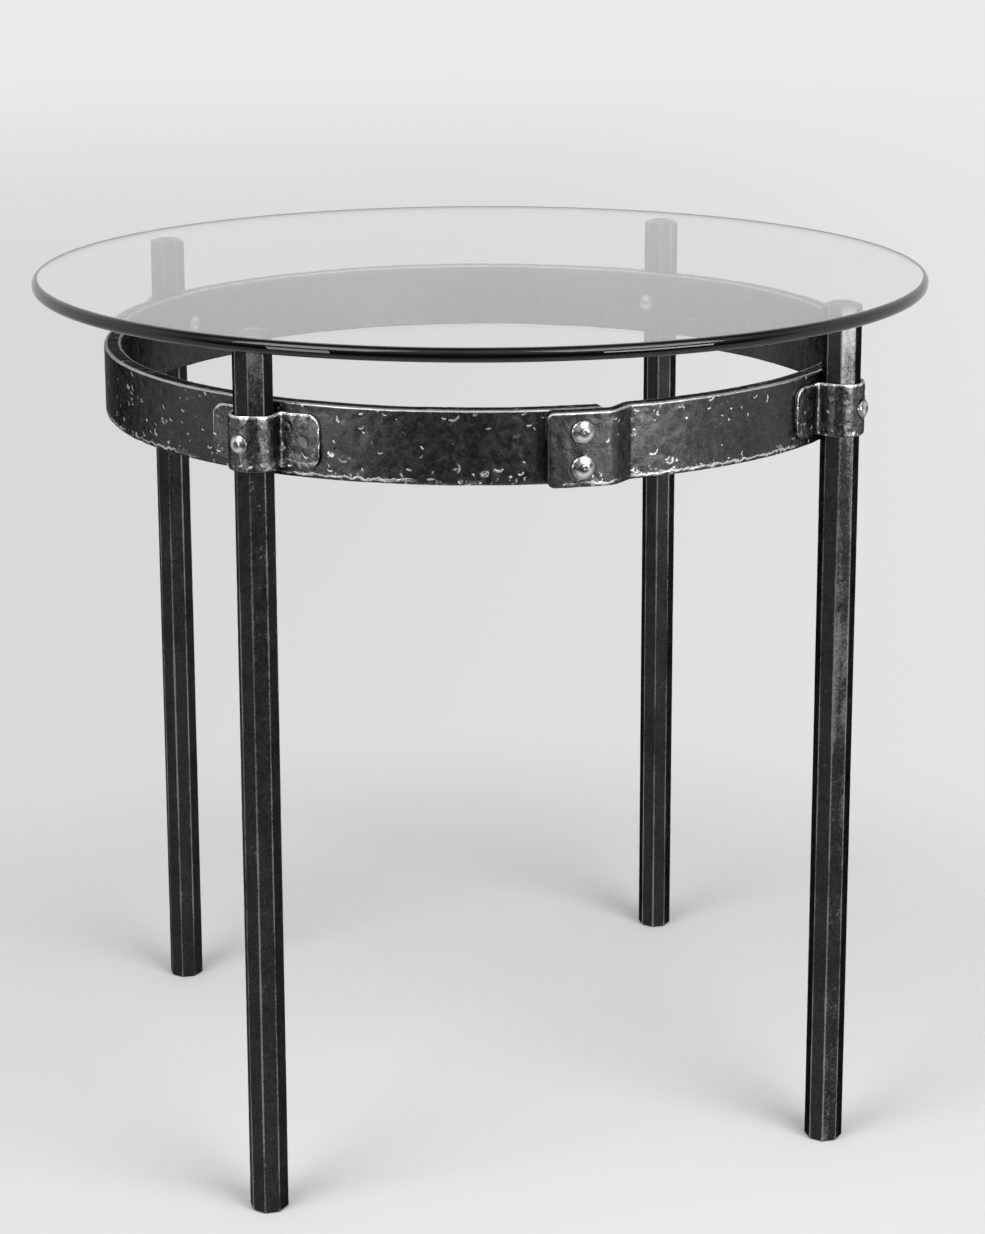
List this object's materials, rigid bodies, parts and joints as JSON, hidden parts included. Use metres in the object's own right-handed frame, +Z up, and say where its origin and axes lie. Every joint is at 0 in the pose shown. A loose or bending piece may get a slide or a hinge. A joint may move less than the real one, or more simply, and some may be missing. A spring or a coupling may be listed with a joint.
{
  "type": "round end table",
  "caption": "Round end table: a clear glass disc lies on octagonal iron legs, strapped and riveted to the outside of a forged flat-bar ring with a riveted lap.",
  "frame": {"origin": "on the floor, at the middle of the ring and of the glass top", "axes": "+Z up; -Y is the front, where the ring's riveted lap is; the legs stand at 45 degrees between X and Y"},
  "size_m": [0.6603, 0.6604, 0.6257],
  "materials": {
    "glass": "clear, polished edge",
    "ring_iron": "dark waxed, hammered",
    "leg_iron": "dark waxed, brushed along the bar",
    "strap_iron": "dark waxed, edges worn bright",
    "rivet_iron": "hammered, worn bright",
    "clear_vinyl": "soft clear"
  },
  "bodies": {
    "frame": {"ring_band": "ring_iron", "leg_front_left": "leg_iron", "leg_front_right": "leg_iron", "leg_back_left": "leg_iron", "leg_back_right": "leg_iron", "strap_front_left": "strap_iron", "strap_front_right": "strap_iron", "strap_back_left": "strap_iron", "strap_back_right": "strap_iron", "leg_rivet_front_left": "rivet_iron", "leg_rivet_front_right": "rivet_iron", "leg_rivet_back_left": "rivet_iron", "leg_rivet_back_right": "rivet_iron", "lap_rivet_upper": "rivet_iron", "lap_rivet_lower": "rivet_iron", "bumper_front_left": "clear_vinyl", "bumper_front_right": "clear_vinyl", "bumper_back_left": "clear_vinyl", "bumper_back_right": "clear_vinyl"},
    "top": {"glass_top": "glass"}
  },
  "joints": [
    {"name": "glass_lift", "type": "slide", "parent": "frame", "child": "top", "axis": [0, 0, 1], "range_m": [0, 0.12]}
  ]
}
